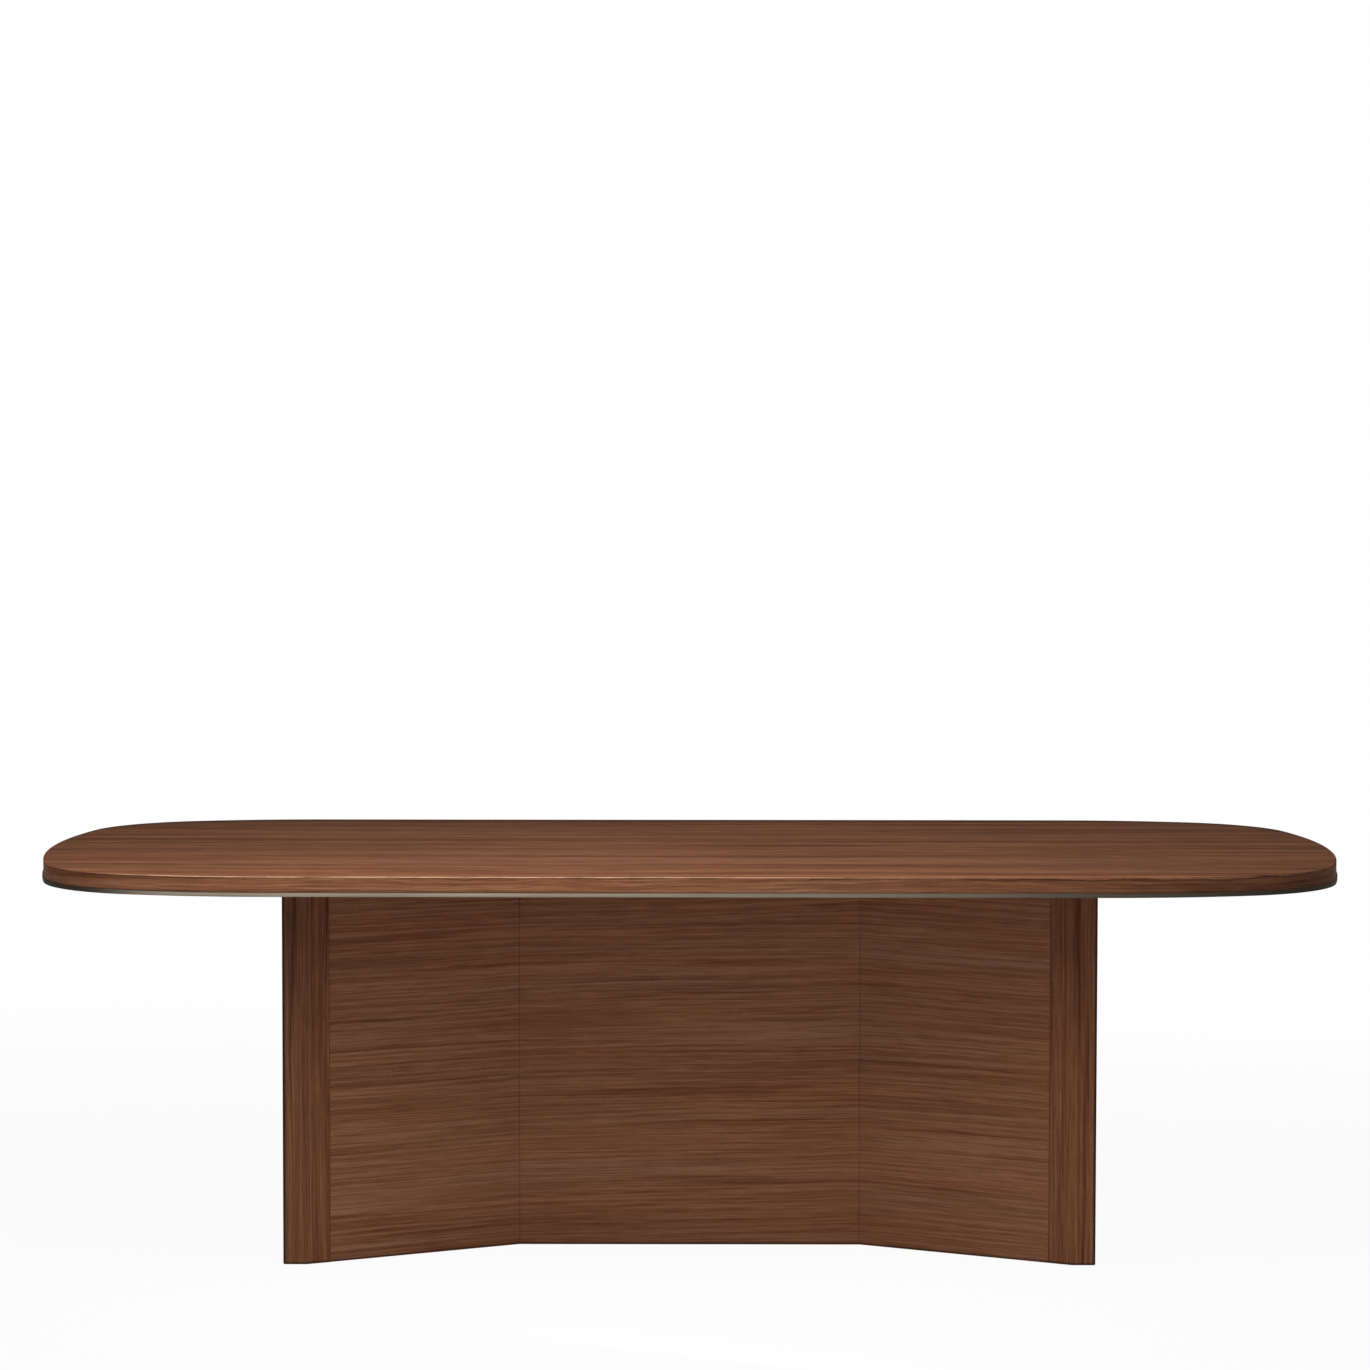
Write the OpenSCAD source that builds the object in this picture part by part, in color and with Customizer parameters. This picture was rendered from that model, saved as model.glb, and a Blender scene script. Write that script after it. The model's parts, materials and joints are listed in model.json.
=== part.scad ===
// Long dining table: a soft-cornered wooden top with a metal strip under its edge, on a waisted pedestal.
// Millimetres. X runs along the table, -Y is the front, Z is up, and the feet stand on Z = 0.

/* [Top] */
// Length of the top
top_l = 2440; // [2000:10:3000]
// Width of the top
top_w = 1118; // [950:2:1350]
// Height of the top face above the floor
table_h = 755; // [700:1:800]
// Thickness of the wooden top
edge_t = 28; // [27:1:40]
// Radius of the bowed ends
end_r = 1540; // [1100:10:2500]
// Radius of the corners
corner_r = 262; // [120:1:400]
// Radius of the curve that eases a corner into the straight side
side_r = 845; // [600:5:1400]
// Length of an eased end, from its tip to the straight side
end_run = 468; // [400:1:600]
// Width of the solid band round the core
band_w = 20; // [14:1:40]
// Thickness of the face sheet over core and band, and of the balancing sheet under the core
sheet_t = 1; // [0.6:0.1:2]
// Width of the loose tongues between core and band
tongue_w = 16; // [10:1:22]
// Thickness of the loose tongues
tongue_t = 6; // [4:0.5:8]

/* [Metal strip] */
// Height of the metal strip under the edge
strip_h = 8; // [5:1:14]
// Width of the metal strip
strip_w = 24; // [18:1:40]
// How far the strip stands proud of the wooden edge
strip_proud = 2; // [0.5:0.5:4]
// Number of screws along each straight strip
strip_screws_n = 6; // [3:1:12]
// Distance from the end of a straight strip to its first screw
strip_screw_in = 32; // [20:1:80]

/* [Channels] */
// Distance from the tip of the top to the end of a steel channel
channel_end = 320; // [260:5:600]
// Distance from the side of the top to a channel's outer wall
channel_side = 160; // [100:5:200]
// Width of a channel
channel_w = 38; // [25:1:60]
// Height of a channel
channel_h = 12; // [8:1:14]
// Wall of a channel
channel_t = 3; // [2.5:0.5:4]
// Number of screws in each channel
channel_screws_n = 7; // [3:1:12]
// Distance from the end of a channel to its first screw
channel_screw_in = 40; // [20:1:100]

/* [Pedestal] */
// Width of the pedestal, along the table
base_w = 1510; // [1380:5:1800]
// Depth of the pedestal at its posts
base_d = 560; // [500:5:700]
// Depth of the pedestal at its waist
waist_d = 170; // [150:2:240]
// Width of the flat centre panel
centre_w = 646; // [560:2:700]
// Thickness of the panels
panel_t = 19; // [16:1:24]
// Width of the flat nose of a post
nose_w = 44; // [36:1:60]
// Width of the face of a post that turns in with the wing
turn_w = 47; // [36:1:60]
// Depth of the end face of a post
post_d = 44; // [36:1:60]
// Height of the pedestal's lower edge above the floor
base_gap = 2; // [1:0.5:4]
// Width of the splines in the seams
spline_w = 16; // [10:1:18]
// Thickness of the splines
spline_t = 4; // [3:0.5:6]

/* [Plates and ribs] */
// Thickness of the deck, the bottom plate and the ribs
ply_t = 18; // [15:1:22]
// Depth of the grooves that house the plates in the panels
housing = 6; // [3:1:9]
// Height of the bottom plate above the pedestal's lower edge
plate_up = 10; // [9:0.5:16]
// Distance from the middle of the table to the outer face of an outer rib
outer_rib_x = 559; // [545:1:575]
// Length of the access holes in the bottom plate
hole_l = 170; // [130:5:175]
// Width of the access holes
hole_w = 80; // [60:2:90]
// Distance from a rib's end to its screws
rib_screw_in = 22; // [15:1:30]
// Length of the rib screws
rib_screw_l = 50; // [40:1:70]
// Width of the square foot blocks
block_w = 60; // [50:1:64]
// Height of the foot blocks
block_h = 50; // [45:1:70]

/* [Fasteners] */
// Diameter of the bolts that hold the top
bolt_d = 8; // [6:1:10]
// Width across the flats of a bolt's head
bolt_flats = 13; // [12:0.5:17]
// Height of a bolt's head
bolt_head_h = 5; // [4:0.5:7]
// How far a bolt reaches into its insert
bolt_bite = 14; // [10:1:15]
// Distance from the end of an access hole to the bolt above it
bolt_in = 18; // [14:1:30]
// Diameter of the bolts' washers
washer_d = 24; // [20:1:30]
// Thickness of the bolts' washers
washer_t = 2; // [1.5:0.5:3]
// Outer diameter of the threaded inserts
insert_d = 13; // [12:0.5:16]
// Length of the threaded inserts
insert_l = 16; // [15:1:19]
// Diameter of the shank of the screws in strips and channels
small_screw_d = 3.5; // [3:0.5:4]
// Diameter of the shank of the rib screws
rib_screw_d = 5; // [4:0.5:6]

/* [Feet] */
// Diameter of a foot pad
pad_d = 36; // [28:1:44]
// Height of a foot pad
pad_h = 7; // [6:0.5:8]
// Diameter of a foot's stem
stem_d = 8; // [8:1:10]
// Length of a foot's stem
stem_l = 67; // [60:1:80]
// How deep the stem sits in its pad
socket_h = 4; // [3:0.5:5]
// Outer diameter of a foot nut's barrel
nut_d = 13; // [13:0.5:16]
// Diameter of a foot nut's flange
nut_flange_d = 24; // [20:1:30]
// Thickness of a foot nut's flange
nut_flange_t = 1.5; // [1:0.5:2]
// Width across the flats of the hexagonal collar that turns a foot
collar_flats = 14; // [13:1:19]

/* [Hidden] */
$fn = 48;
LEFT = -1;
RIGHT = 1;
FRONT = -1;
BACK = 1;

face_colour = "#7a543e";
edge_colour = "#7b5239";
panel_colour = "#5e3f2c";
post_colour = "#5c3b29";
strip_colour = "#8b8276";
board_colour = "#b39468";
ply_colour = "#c2a577";
steel_colour = "#9a9ca0";
pad_colour = "#2b2a29";

// Clearance round a screw or bolt in the piece that it goes through
hole_gap = 0.1;
// Radial clearance of a turning stem in its nut and its pad
run_gap = 0.05;
// Space between flat faces of pieces that move against each other
face_gap = 0.3;
// Clearance round a stem where it passes a foot block
block_gap = 1;
// Height of a countersunk head, as a share of the screw's shank
head_share = 0.7;
// Distance that a screw's tip stays short of the tongues above it
tip_gap = 2;
// Space between the ends of neighbouring tongues
tongue_gap = 0.5;
// How far a screw in a channel reaches into the core
channel_bite = 9;
// Angle between neighbouring points on the arcs of the outline
corner_step = 3;
side_step = 2;
end_step = 1.5;

wood_z = table_h - edge_t;
band_t = edge_t - sheet_t;
core_t = band_t - sheet_t;
straight_x = top_l / 2 - end_run;
half_w = top_w / 2;
channel_x = top_l / 2 - channel_end;
channel_y = half_w - channel_side - channel_w;
channel_mid = channel_y + channel_w / 2;
strip_mid = strip_w / 2 - strip_proud;
strip_screw_l = strip_h + (edge_t - tongue_t) / 2 - tip_gap;

half_base = base_w / 2;
nose_y = base_d / 2;
waist_y = waist_d / 2;
seam_x = centre_w / 2;
nose_x = half_base - nose_w;
wing_a = atan((nose_y - waist_y) / (nose_x - seam_x));
plate_z = base_gap + plate_up;
bay_z = plate_z + ply_t;
deck_z = wood_z - ply_t;
inner_rib_x = seam(panel_t).x;
// Depth of the splines inside the faces, half way to the plates' grooves
spline_in = (panel_t - housing) / 2;
block_x = half_base - panel_t - block_w;
foot_x = block_x + block_w / 2;
foot_y = min(nose_y - post_d, turn(panel_t).y, inside_y(block_x)) - block_w / 2;
inner_hole_x = (inner_rib_x + outer_rib_x - ply_t) / 2;
outer_hole_x = (outer_rib_x + block_x) / 2;
collar_z = pad_h + face_gap;
collar_h = plate_z - nut_flange_t - face_gap - collar_z;

// Places of the bolts that hold the top: one pair above each access hole
bolt_reach = hole_l / 2 - bolt_in;
bolt_places = [
    for (s = [LEFT, RIGHT]) each [
        [s * bolt_reach, 0],
        [s * (inner_hole_x - bolt_reach), 0],
        [s * (inner_hole_x + bolt_reach), 0],
        [s * outer_hole_x, bolt_reach],
        [s * outer_hole_x, -bolt_reach]
    ]
];

// Places of the screws in the ribs
rib_screw_places = [
    for (s = [LEFT, RIGHT], t = [FRONT, BACK]) each [
        [s * (inner_rib_x - ply_t / 2), t * (waist_y - panel_t - rib_screw_in)],
        [s * (outer_rib_x - ply_t / 2), t * (inside_y(outer_rib_x - ply_t) - rib_screw_in)]
    ]
];

// Outline of the top: the end arc, the corner arc and the side arc run into each other and into the
// straight side. The centres of the end and side arcs follow from the sizes, and the corner's centre
// is where circles about those two centres cross.
end_c = [top_l / 2 - end_r, 0];
side_c = [straight_x, half_w - side_r];
corner_c = crossing(end_c, end_r - corner_r, side_c, side_r - corner_r);
end_to_corner = direction(end_c, corner_c);
corner_to_side = direction(side_c, corner_c);

function direction(from, to) = atan2(to.y - from.y, to.x - from.x);
function crossing(p, r, q, s) =
    let (d = norm(q - p), a = (r * r - s * s + d * d) / (2 * d), u = (q - p) / d)
    p + a * u + sqrt(r * r - a * a) * [-u.y, u.x];
function backwards(pts) = [for (i = [len(pts) - 1 : -1 : 0]) pts[i]];
function flip_y(pts) = [for (p = pts) [p.x, -p.y]];
function about(pts) = [for (p = pts) -p];
function on_arc(c, r, a) = c + r * [cos(a), sin(a)];

// Points along an arc after its first one
function arc(c, r, from, to, step) =
    let (n = ceil((to - from) / step))
    [for (i = [1 : n]) on_arc(c, r, from + (to - from) * i / n)];

// A quarter of the outline, drawn in by d, from the tip at +X to the straight side at +Y
function quarter(d) = concat(
    [[top_l / 2 - d, 0]],
    arc(end_c, end_r - d, 0, end_to_corner, end_step),
    arc(corner_c, corner_r - d, end_to_corner, corner_to_side, corner_step),
    arc(side_c, side_r - d, corner_to_side, 90, side_step)
);

// One whole end of the outline, from the front straight side round the tip to the back one
function end_line(d) =
    let (q = quarter(d), n = len(q))
    concat(flip_y(backwards(q)), [for (i = [1 : n - 1]) q[i]]);

// Corner between centre panel and wing, at depth d inside the faces, in the +X +Y quarter
function seam(d) = [seam_x + d * tan(wing_a / 2), waist_y - d];

// Edge between wing and post at depth d inside the wing's face
function turn(d) = [
    nose_x - turn_w * cos(wing_a) + d * sin(wing_a),
    nose_y - turn_w * sin(wing_a) - d * cos(wing_a)
];

// Edge between post and end panel at depth d inside the end face
function side(d) = [half_base - d, nose_y - post_d];

// Half depth of the hollow between two wings at a distance x from the middle
function inside_y(x) = waist_y + (x - seam_x) * tan(wing_a) - panel_t / cos(wing_a);

// Outline of the hollow, let in by d from the pedestal's faces
function hollow(d) =
    let (q = [seam(d), turn(d), side(d)], r = flip_y(backwards(q)))
    concat(q, r, about(q), about(r));

// Places children in one quarter of the table: x_side is LEFT or RIGHT, y_side FRONT or BACK
module in_quarter(x_side, y_side) {
    mirror([x_side == LEFT ? 1 : 0, 0, 0])
        mirror([0, y_side == FRONT ? 1 : 0, 0])
            children();
}

module in_all_quarters() {
    for (s = [LEFT, RIGHT], t = [FRONT, BACK])
        in_quarter(s, t) children();
}

module whole_outline(d) {
    polygon(concat(end_line(d), about(end_line(d))));
}

// Band along one end of the top, between the outlines drawn in by d1 and d2
module end_band(d1, d2) {
    polygon(concat(end_line(d1), backwards(end_line(d2))));
}

// Band along one straight side of the top, which stops short of the ends of that side
module side_band(d1, d2, short = 0) {
    translate([short - straight_x, half_w - d2])
        square([2 * (straight_x - short), d2 - d1]);
}

// Countersunk screw that points up, with its head's face at Z = 0
module screw(d, length, gap = 0) {
    head_h = head_share * d;
    cylinder(h = head_h, d1 = 2 * d + 2 * gap, d2 = d + 2 * gap);
    cylinder(h = length, d = d + 2 * gap);
}

// Four loose tongues round the core, or with short = 0 the groove that holds them
module tongues(short = 0) {
    out = band_w - tongue_w / 2;
    translate([0, 0, wood_z + (edge_t - tongue_t) / 2])
        linear_extrude(tongue_t) {
            for (s = [LEFT, RIGHT])
                in_quarter(s, BACK) end_band(out, out + tongue_w);
            for (t = [FRONT, BACK])
                in_quarter(RIGHT, t) side_band(out, out + tongue_w, short);
        }
}

module strip_screw_set(gap = 0) {
    run = straight_x - strip_screw_in;
    for (t = [FRONT, BACK], i = [0 : strip_screws_n - 1])
        translate([run * (2 * i / (strip_screws_n - 1) - 1), t * (half_w - strip_mid), wood_z - strip_h])
            screw(small_screw_d, strip_screw_l, gap);
    corner_span = corner_to_side - end_to_corner;
    for (s = [LEFT, RIGHT])
        translate([s * (top_l / 2 - strip_mid), 0, wood_z - strip_h])
            screw(small_screw_d, strip_screw_l, gap);
    in_all_quarters()
        for (p = [
            on_arc(corner_c, corner_r - strip_mid, end_to_corner + corner_span / 6),
            on_arc(corner_c, corner_r - strip_mid, corner_to_side - corner_span / 6),
            on_arc(side_c, side_r - strip_mid, (corner_to_side + 90) / 2)
        ])
            translate([p.x, p.y, wood_z - strip_h])
                screw(small_screw_d, strip_screw_l, gap);
}

module edge_end(x_side) {
    difference() {
        in_quarter(x_side, BACK)
            translate([0, 0, wood_z]) linear_extrude(band_t) end_band(0, band_w);
        tongues();
        strip_screw_set(hole_gap);
    }
}

module edge_side(y_side) {
    difference() {
        in_quarter(RIGHT, y_side)
            translate([0, 0, wood_z]) linear_extrude(band_t) side_band(0, band_w);
        tongues();
        strip_screw_set(hole_gap);
    }
}

module strip_end(x_side) {
    difference() {
        in_quarter(x_side, BACK)
            translate([0, 0, wood_z - strip_h])
                linear_extrude(strip_h) end_band(-strip_proud, strip_w - strip_proud);
        strip_screw_set(hole_gap);
    }
}

module strip_side(y_side) {
    difference() {
        in_quarter(RIGHT, y_side)
            translate([0, 0, wood_z - strip_h])
                linear_extrude(strip_h) side_band(-strip_proud, strip_w - strip_proud);
        strip_screw_set(hole_gap);
    }
}

// Recesses in the underside of the core for the two channels
module channel_grooves() {
    for (t = [FRONT, BACK])
        in_quarter(RIGHT, t)
            translate([-channel_x, channel_y, wood_z])
                cube([2 * channel_x, channel_w, channel_h]);
}

module channel_screw_set(gap = 0) {
    run = channel_x - channel_screw_in;
    for (t = [FRONT, BACK], i = [0 : channel_screws_n - 1])
        translate([run * (2 * i / (channel_screws_n - 1) - 1), t * channel_mid, wood_z])
            screw(small_screw_d, channel_h + channel_bite, gap);
}

module channel(y_side) {
    difference() {
        in_quarter(RIGHT, y_side)
            translate([-channel_x, channel_y, wood_z])
                difference() {
                    cube([2 * channel_x, channel_w, channel_h]);
                    translate([-channel_t, channel_t, channel_t])
                        cube([2 * (channel_x + channel_t), channel_w - 2 * channel_t, channel_h]);
                }
        channel_screw_set(hole_gap);
    }
}

module insert_holes(depth) {
    for (p = bolt_places)
        translate([p.x, p.y, wood_z])
            cylinder(h = depth, d = insert_d + 2 * hole_gap);
}

module face_sheet() color(face_colour)
    translate([0, 0, table_h - sheet_t]) linear_extrude(sheet_t) whole_outline(0);

module top_core() color(board_colour)
    difference() {
        translate([0, 0, wood_z + sheet_t]) linear_extrude(core_t) whole_outline(band_w);
        tongues();
        channel_grooves();
        channel_screw_set(hole_gap);
        insert_holes(insert_l);
    }

module balance_sheet() color(face_colour)
    difference() {
        translate([0, 0, wood_z]) linear_extrude(sheet_t) whole_outline(band_w);
        channel_grooves();
        insert_holes(insert_l);
    }

module edge_front() color(edge_colour) edge_side(FRONT);
module edge_back() color(edge_colour) edge_side(BACK);
module edge_left() color(edge_colour) edge_end(LEFT);
module edge_right() color(edge_colour) edge_end(RIGHT);
module edge_tongues() color(ply_colour) tongues(tongue_gap);

module strip_front() color(strip_colour) strip_side(FRONT);
module strip_back() color(strip_colour) strip_side(BACK);
module strip_left() color(strip_colour) strip_end(LEFT);
module strip_right() color(strip_colour) strip_end(RIGHT);
module strip_screws() color(steel_colour) strip_screw_set();

module channel_front() color(steel_colour) channel(FRONT);
module channel_back() color(steel_colour) channel(BACK);
module channel_screws() color(steel_colour) channel_screw_set();

module top_inserts() color(steel_colour)
    for (p = bolt_places)
        translate([p.x, p.y, wood_z])
            difference() {
                cylinder(h = insert_l, d = insert_d);
                translate([0, 0, -insert_l]) cylinder(h = 3 * insert_l, d = bolt_d + 2 * hole_gap);
            }

// Plate that fills the hollow and sits in grooves in the panels and posts
module housed_plate(z) {
    translate([0, 0, z]) linear_extrude(ply_t) polygon(hollow(panel_t - housing));
}

// An upright piece of the pedestal, cut for the plates and the splines
module upright() {
    difference() {
        translate([0, 0, base_gap]) linear_extrude(wood_z - base_gap) children();
        housed_plate(plate_z);
        housed_plate(deck_z);
        in_all_quarters() spline_set();
    }
}

// A spline across a seam at p, turned by a
module spline(p, a) {
    translate([p.x, p.y, bay_z])
        rotate(a)
            translate([-spline_w / 2, -spline_t / 2, 0])
                cube([spline_w, spline_t, deck_z - bay_z]);
}

module seam_spline() spline(seam(spline_in), wing_a / 2);
module post_spline() spline(turn(spline_in), wing_a);
module end_spline() spline(side(spline_in), 90);

module spline_set() {
    seam_spline();
    post_spline();
    end_spline();
}

module centre_panel(y_side) color(panel_colour)
    upright() in_quarter(RIGHT, y_side) polygon([
        [-seam(0).x, seam(0).y],
        seam(0),
        seam(panel_t),
        [-seam(panel_t).x, seam(panel_t).y]
    ]);

module wing_panel(x_side, y_side) color(panel_colour)
    upright() in_quarter(x_side, y_side) polygon([seam(0), turn(0), turn(panel_t), seam(panel_t)]);

module post(x_side, y_side) color(post_colour)
    upright() in_quarter(x_side, y_side) polygon([
        turn(0),
        [nose_x, nose_y],
        [half_base, nose_y],
        side(0),
        side(panel_t),
        turn(panel_t)
    ]);

module end_panel(x_side) color(panel_colour)
    upright() in_quarter(x_side, BACK)
        translate([half_base - panel_t, -side(0).y])
            square([panel_t, 2 * side(0).y]);

module centre_panel_front() centre_panel(FRONT);
module centre_panel_back() centre_panel(BACK);
module wing_panel_front_left() wing_panel(LEFT, FRONT);
module wing_panel_front_right() wing_panel(RIGHT, FRONT);
module wing_panel_back_left() wing_panel(LEFT, BACK);
module wing_panel_back_right() wing_panel(RIGHT, BACK);
module post_front_left() post(LEFT, FRONT);
module post_front_right() post(RIGHT, FRONT);
module post_back_left() post(LEFT, BACK);
module post_back_right() post(RIGHT, BACK);
module end_panel_left() end_panel(LEFT);
module end_panel_right() end_panel(RIGHT);

module seam_splines() color(ply_colour) in_all_quarters() seam_spline();
module post_splines() color(ply_colour) in_all_quarters() post_spline();
module end_splines() color(ply_colour) in_all_quarters() end_spline();

// Access hole with round ends, along X
module slot_hole() {
    flat = hole_l - hole_w;
    translate([-flat / 2, -hole_w / 2]) square([flat, hole_w]);
    for (s = [LEFT, RIGHT])
        translate([s * flat / 2, 0]) circle(d = hole_w);
}

module rib_screw_set(gap = 0) {
    for (p = rib_screw_places) {
        translate([p.x, p.y, plate_z])
            screw(rib_screw_d, rib_screw_l, gap);
        translate([p.x, p.y, wood_z])
            mirror([0, 0, 1]) screw(rib_screw_d, rib_screw_l, gap);
    }
}

module deck_plate() color(ply_colour)
    difference() {
        housed_plate(deck_z);
        rib_screw_set(hole_gap);
        for (p = bolt_places)
            translate([p.x, p.y, deck_z - ply_t])
                cylinder(h = 3 * ply_t, d = bolt_d + 2 * block_gap);
    }

module bottom_plate() color(ply_colour)
    difference() {
        housed_plate(plate_z);
        rib_screw_set(hole_gap);
        translate([0, 0, plate_z - ply_t]) linear_extrude(3 * ply_t) {
            slot_hole();
            for (s = [LEFT, RIGHT]) {
                translate([s * inner_hole_x, 0]) slot_hole();
                translate([s * outer_hole_x, 0]) rotate(90) slot_hole();
            }
        }
        in_all_quarters()
            translate([foot_x, foot_y, plate_z - ply_t])
                cylinder(h = 3 * ply_t, d = nut_d + 2 * hole_gap);
    }

// Rib across the hollow, whose face away from the middle is at x
module rib(x_side, x) color(ply_colour)
    difference() {
        intersection() {
            translate([0, 0, bay_z]) linear_extrude(deck_z - bay_z) polygon(hollow(panel_t));
            in_quarter(x_side, BACK)
                translate([x - ply_t, -nose_y, bay_z]) cube([ply_t, base_d, deck_z - bay_z]);
        }
        rib_screw_set(hole_gap);
    }

module inner_rib_left() rib(LEFT, inner_rib_x);
module inner_rib_right() rib(RIGHT, inner_rib_x);
module outer_rib_left() rib(LEFT, outer_rib_x);
module outer_rib_right() rib(RIGHT, outer_rib_x);
module rib_screws() color(steel_colour) rib_screw_set();

module foot_blocks() color(ply_colour)
    in_all_quarters()
        translate([foot_x, foot_y, bay_z])
            difference() {
                translate([-block_w / 2, -block_w / 2, 0]) cube([block_w, block_w, block_h]);
                translate([0, 0, -block_h]) cylinder(h = 3 * block_h, d = stem_d + 2 * block_gap);
            }

module foot_nuts() color(steel_colour)
    in_all_quarters()
        translate([foot_x, foot_y, plate_z])
            difference() {
                union() {
                    translate([0, 0, -nut_flange_t]) cylinder(h = nut_flange_t, d = nut_flange_d);
                    cylinder(h = ply_t, d = nut_d);
                }
                translate([0, 0, -ply_t]) cylinder(h = 3 * ply_t, d = stem_d + 2 * run_gap);
            }

module top_bolts() color(steel_colour)
    for (p = bolt_places)
        translate([p.x, p.y, deck_z - washer_t]) {
            translate([0, 0, -bolt_head_h])
                cylinder(h = bolt_head_h, d = bolt_flats / cos(30), $fn = 6);
            cylinder(h = washer_t + ply_t + bolt_bite, d = bolt_d);
        }

module bolt_washers() color(steel_colour)
    for (p = bolt_places)
        translate([p.x, p.y, deck_z - washer_t])
            difference() {
                cylinder(h = washer_t, d = washer_d);
                translate([0, 0, -washer_t]) cylinder(h = 3 * washer_t, d = bolt_d + 2 * hole_gap);
            }

// Disc that rests on the floor, with a socket in which the stem's end turns
module foot_pad(x_side, y_side) color(pad_colour)
    in_quarter(x_side, y_side)
        translate([foot_x, foot_y, 0])
            difference() {
                cylinder(h = pad_h, d = pad_d);
                translate([0, 0, pad_h - socket_h - face_gap])
                    cylinder(h = pad_h, d = stem_d + 2 * run_gap);
            }

module foot_stem(x_side, y_side) color(steel_colour)
    in_quarter(x_side, y_side)
        translate([foot_x, foot_y, 0]) {
            translate([0, 0, pad_h - socket_h]) cylinder(h = stem_l, d = stem_d);
            translate([0, 0, collar_z])
                cylinder(h = collar_h, d = collar_flats / cos(30), $fn = 6);
        }

module foot_pad_front_left() foot_pad(LEFT, FRONT);
module foot_pad_front_right() foot_pad(RIGHT, FRONT);
module foot_pad_back_left() foot_pad(LEFT, BACK);
module foot_pad_back_right() foot_pad(RIGHT, BACK);
module foot_stem_front_left() foot_stem(LEFT, FRONT);
module foot_stem_front_right() foot_stem(RIGHT, FRONT);
module foot_stem_back_left() foot_stem(LEFT, BACK);
module foot_stem_back_right() foot_stem(RIGHT, BACK);

face_sheet();
top_core();
balance_sheet();
edge_front();
edge_back();
edge_left();
edge_right();
edge_tongues();
strip_front();
strip_back();
strip_left();
strip_right();
strip_screws();
channel_front();
channel_back();
channel_screws();
top_inserts();
centre_panel_front();
centre_panel_back();
wing_panel_front_left();
wing_panel_front_right();
wing_panel_back_left();
wing_panel_back_right();
post_front_left();
post_front_right();
post_back_left();
post_back_right();
end_panel_left();
end_panel_right();
seam_splines();
post_splines();
end_splines();
deck_plate();
bottom_plate();
inner_rib_left();
inner_rib_right();
outer_rib_left();
outer_rib_right();
rib_screws();
foot_blocks();
foot_nuts();
top_bolts();
bolt_washers();
foot_pad_front_left();
foot_pad_front_right();
foot_pad_back_left();
foot_pad_back_right();
foot_stem_front_left();
foot_stem_front_right();
foot_stem_back_left();
foot_stem_back_right();
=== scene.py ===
"""Looks of a long walnut dining table on a waisted pedestal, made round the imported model."""

import json
import math

import bmesh
import bpy
import numpy as np
from mathutils import Euler, Matrix, Vector


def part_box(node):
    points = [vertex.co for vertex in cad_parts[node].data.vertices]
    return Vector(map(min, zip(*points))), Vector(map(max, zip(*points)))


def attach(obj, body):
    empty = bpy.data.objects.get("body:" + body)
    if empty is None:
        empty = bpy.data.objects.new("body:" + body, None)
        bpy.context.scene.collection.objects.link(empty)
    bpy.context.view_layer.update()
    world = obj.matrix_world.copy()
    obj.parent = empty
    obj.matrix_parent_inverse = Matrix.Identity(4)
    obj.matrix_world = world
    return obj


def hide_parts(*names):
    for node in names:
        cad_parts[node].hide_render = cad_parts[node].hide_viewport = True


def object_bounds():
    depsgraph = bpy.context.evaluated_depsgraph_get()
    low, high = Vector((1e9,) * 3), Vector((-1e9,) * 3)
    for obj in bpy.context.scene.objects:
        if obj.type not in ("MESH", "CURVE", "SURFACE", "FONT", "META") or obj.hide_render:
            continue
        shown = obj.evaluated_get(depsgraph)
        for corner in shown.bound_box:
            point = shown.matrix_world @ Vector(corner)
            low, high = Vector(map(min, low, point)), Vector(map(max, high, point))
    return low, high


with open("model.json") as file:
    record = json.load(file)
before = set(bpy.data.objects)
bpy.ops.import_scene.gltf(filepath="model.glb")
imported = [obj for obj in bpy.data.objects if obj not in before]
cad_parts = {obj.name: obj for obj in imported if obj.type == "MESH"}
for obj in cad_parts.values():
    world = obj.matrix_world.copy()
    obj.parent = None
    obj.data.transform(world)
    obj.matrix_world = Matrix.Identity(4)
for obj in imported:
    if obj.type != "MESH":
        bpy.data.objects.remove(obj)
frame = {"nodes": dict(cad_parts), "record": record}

CAD_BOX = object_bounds()
TABLE = "table"
SIDES = {"left": -1, "right": 1}
FACES = {"front": -1, "back": 1}
NODE_SLOT = {row["node"]: row["material_slot"] for row in frame["record"]["subparts"]}

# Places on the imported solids, in metres
TOP_LEVEL = CAD_BOX[1].z
STRIP_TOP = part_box("edge_front")[0].z
STRIP_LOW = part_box("strip_front")[0].z
PANEL_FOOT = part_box("centre_panel_front")[0].z
PANEL_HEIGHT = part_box("post_front_right")[1].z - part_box("post_front_right")[0].z
MITRE_REACH = 0.0045
NOSE_WIDTH = 0.044
CENTRE_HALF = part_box("centre_panel_front")[1].x - MITRE_REACH
CENTRE_OUT = -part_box("centre_panel_front")[0].y
NOSE_OUT = -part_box("post_front_right")[0].y
NOSE_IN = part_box("end_panel_right")[1].x - NOSE_WIDTH
WING_ALONG = Vector((NOSE_IN - CENTRE_HALF, NOSE_OUT - CENTRE_OUT)).normalized()
WING_OUT = Vector((-WING_ALONG.y, WING_ALONG.x))

# Rounding of the edges, in metres and in steps
RIM_ROUND = 0.0016
BAND_FOOT_ROUND = 0.0015
STRIP_TOP_ROUND = 0.0005
STRIP_FOOT_ROUND = 0.0008
ROUND_STEPS = 4
SEAM_BEVEL = 0.0004
SEAM_STEPS = 1
FOOT_BEVEL = 0.0012
FOOT_STEPS = 2
TURN_BEVEL = 0.003
CORNER_BEVEL = 0.006
CORNER_STEPS = 6

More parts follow.
